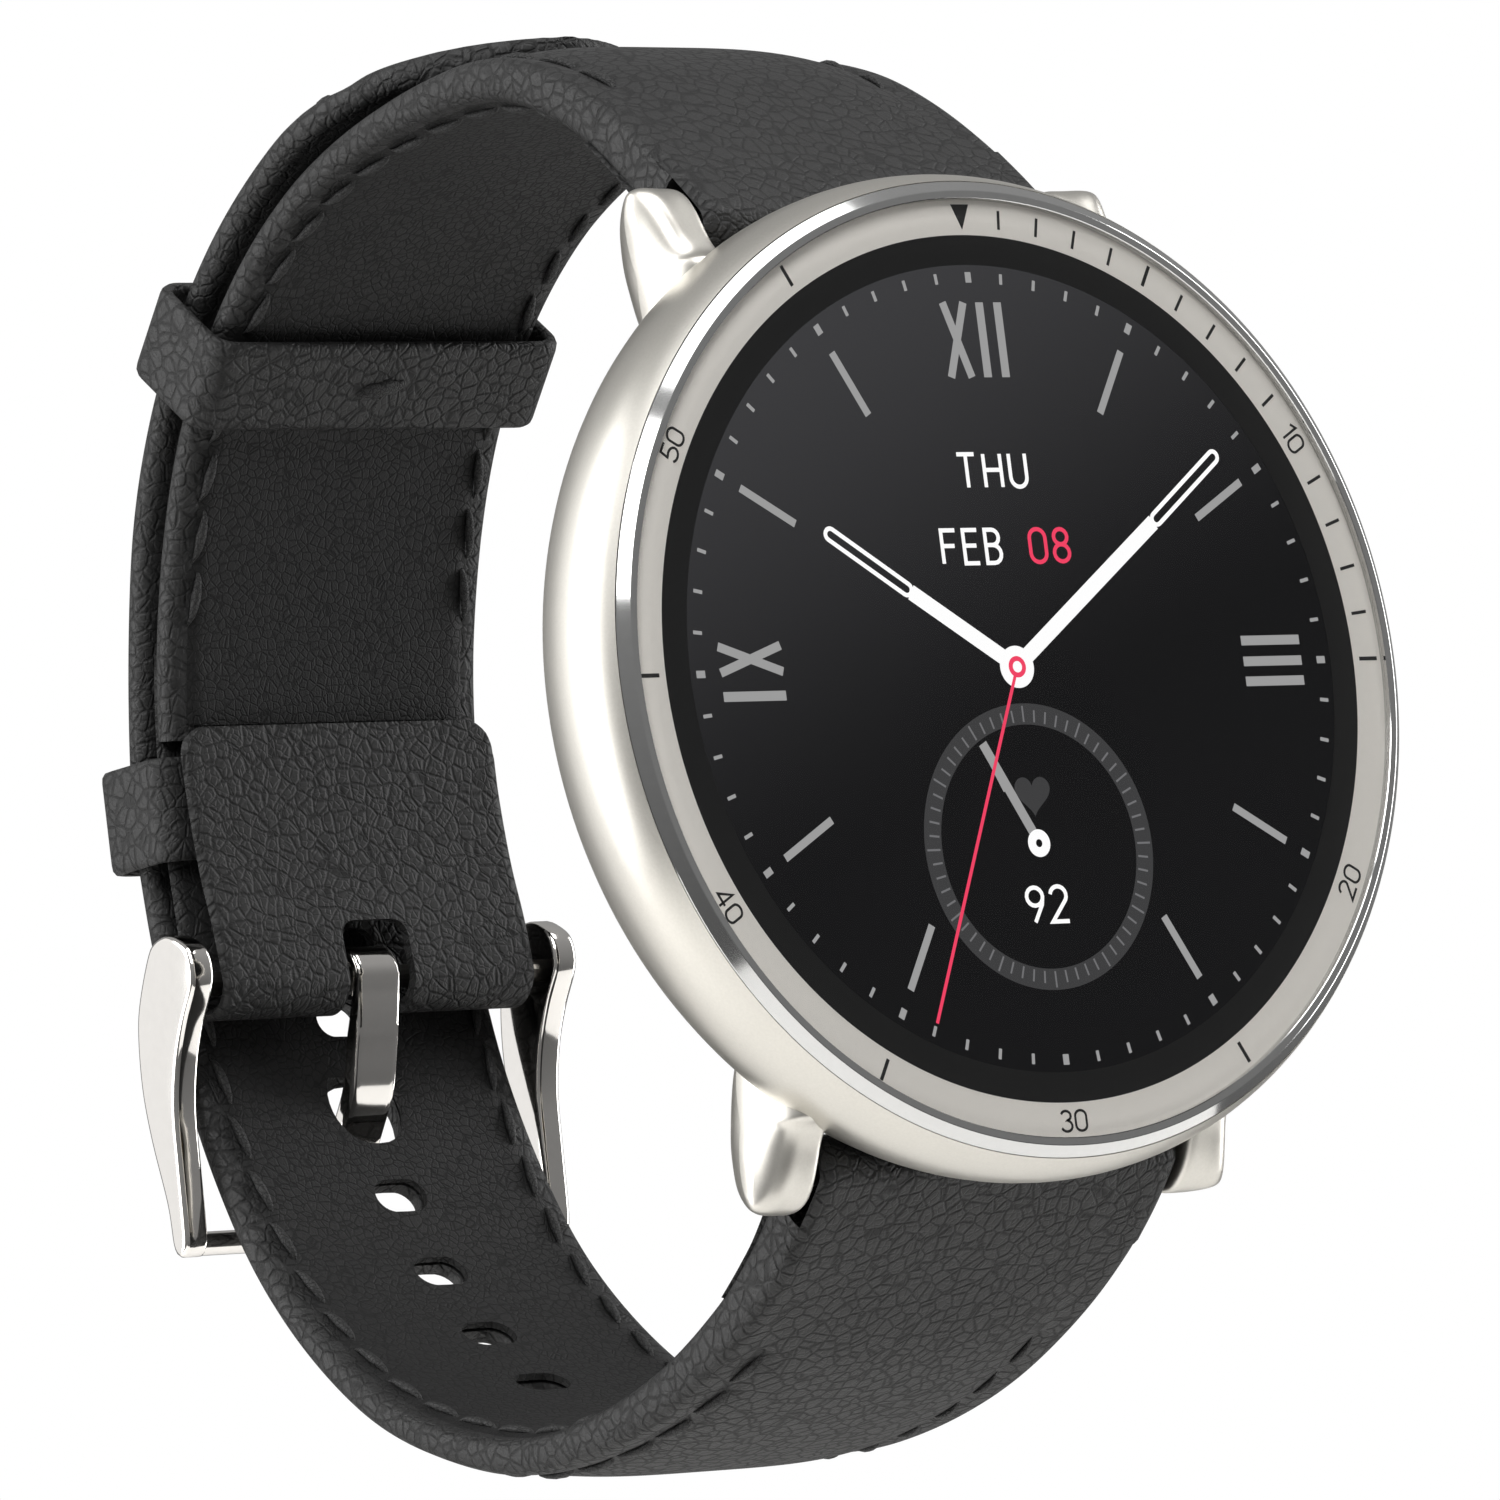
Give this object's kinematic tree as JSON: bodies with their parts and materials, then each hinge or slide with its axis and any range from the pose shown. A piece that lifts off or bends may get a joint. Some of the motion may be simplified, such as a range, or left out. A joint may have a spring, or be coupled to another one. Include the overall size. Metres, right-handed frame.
{
  "type": "smartwatch",
  "caption": "Round smartwatch with a domed metal case, raised bezel and screen, on a buckled padded leather strap with a pin buckle and keepers.",
  "frame": {"origin": "middle of the flat sensor window on the case's back, where it rests on the wrist", "axes": "+X towards 3 o'clock, +Y from the dial through the case towards the wrist, +Z towards 12 o'clock"},
  "size_m": [0.0438, 0.0561, 0.0636],
  "materials": {
    "satin_nickel": "satin blasted nickel tone",
    "polished_nickel": "polished nickel tone",
    "cover_glass": "clear hard glass",
    "sensor_glass": "dark tinted glass",
    "black_rubber": "matte",
    "printed_ring": "warm grey print under the glass",
    "screen": "dark display",
    "gold_flex": "flexible circuit",
    "black_plastic": "moulded",
    "circuit_board": "solder mask",
    "shield_steel": "pressed steel",
    "battery_foil": "foil pouch",
    "led_resin": "clear resin",
    "gold_contact": "plated contact",
    "bar_steel": "turned steel",
    "strap_leather": "pebbled grain, charcoal",
    "lining_leather": "fine grain, near black",
    "strap_padding": "soft filler"
  },
  "bodies": {
    "case": {"battery": "battery_foil", "bezel_ring": "polished_nickel", "buckle_bar": "bar_steel", "buckle_strap_lining": "lining_leather", "buckle_strap_outer": "strap_leather", "buckle_strap_padding": "strap_padding", "case_body": "satin_nickel", "charge_contact_left": "gold_contact", "charge_contact_right": "gold_contact", "cover_glass": "cover_glass", "display_flex": "gold_flex", "display_panel": "screen", "fixed_keeper": "strap_leather", "glass_gasket": "black_rubber", "green_led": "led_resin", "hole_strap_lining": "lining_leather", "hole_strap_outer": "strap_leather", "hole_strap_padding": "strap_padding", "inner_frame": "black_plastic", "lower_bar_tube": "bar_steel", "lower_button_switch": "shield_steel", "main_board": "circuit_board", "microphone": "shield_steel", "minute_track_ring": "printed_ring", "photodiode": "black_plastic", "processor_shield": "shield_steel", "rear_cover": "black_plastic", "rear_gasket": "black_rubber", "red_led": "led_resin", "sensor_board": "circuit_board", "sensor_window": "sensor_glass", "speaker": "black_plastic", "upper_bar_tube": "bar_steel", "upper_button_switch": "shield_steel", "vibration_motor": "shield_steel"},
    "upper_button": {"upper_button": "polished_nickel", "upper_button_seal": "black_rubber"},
    "lower_button": {"lower_button": "polished_nickel", "lower_button_seal": "black_rubber"},
    "upper_tip": {"upper_bar_tip": "bar_steel"},
    "lower_tip": {"lower_bar_tip": "bar_steel"},
    "sliding_keeper": {"sliding_keeper": "strap_leather"},
    "buckle_frame": {"buckle_frame": "polished_nickel"},
    "buckle_tongue": {"buckle_tongue": "polished_nickel"}
  },
  "joints": [
    {"name": "upper_button_press", "type": "slide", "parent": "case", "child": "upper_button", "axis": [-0.866, 0, -0.5], "range_m": [0, 0.0005], "stiffness_N_per_m": 2500, "springref_m": -0.0002},
    {"name": "lower_button_press", "type": "slide", "parent": "case", "child": "lower_button", "axis": [-0.866, 0, 0.5], "range_m": [0, 0.0005], "stiffness_N_per_m": 2500, "springref_m": -0.0002},
    {"name": "upper_tip_retract", "type": "slide", "parent": "case", "child": "upper_tip", "axis": [-1, 0, 0], "range_m": [0, 0.0014], "stiffness_N_per_m": 800, "springref_m": -0.001},
    {"name": "lower_tip_retract", "type": "slide", "parent": "case", "child": "lower_tip", "axis": [-1, 0, 0], "range_m": [0, 0.0014], "stiffness_N_per_m": 800, "springref_m": -0.001},
    {"name": "sliding_keeper_shift", "type": "hinge", "parent": "case", "child": "sliding_keeper", "pos_m": [0, 0.0175, 0.0062], "axis": [1, 0, 0], "range_deg": [-12, 12]},
    {"name": "buckle_frame_swing", "type": "hinge", "parent": "case", "child": "buckle_frame", "pos_m": [0, 0.0409, -0.0056], "axis": [1, 0, 0], "range_deg": [0, 3]},
    {"name": "tongue_swing", "type": "hinge", "parent": "buckle_frame", "child": "buckle_tongue", "pos_m": [0, 0.0409, -0.0056], "axis": [1, 0, 0], "range_deg": [0, 1.5]}
  ]
}
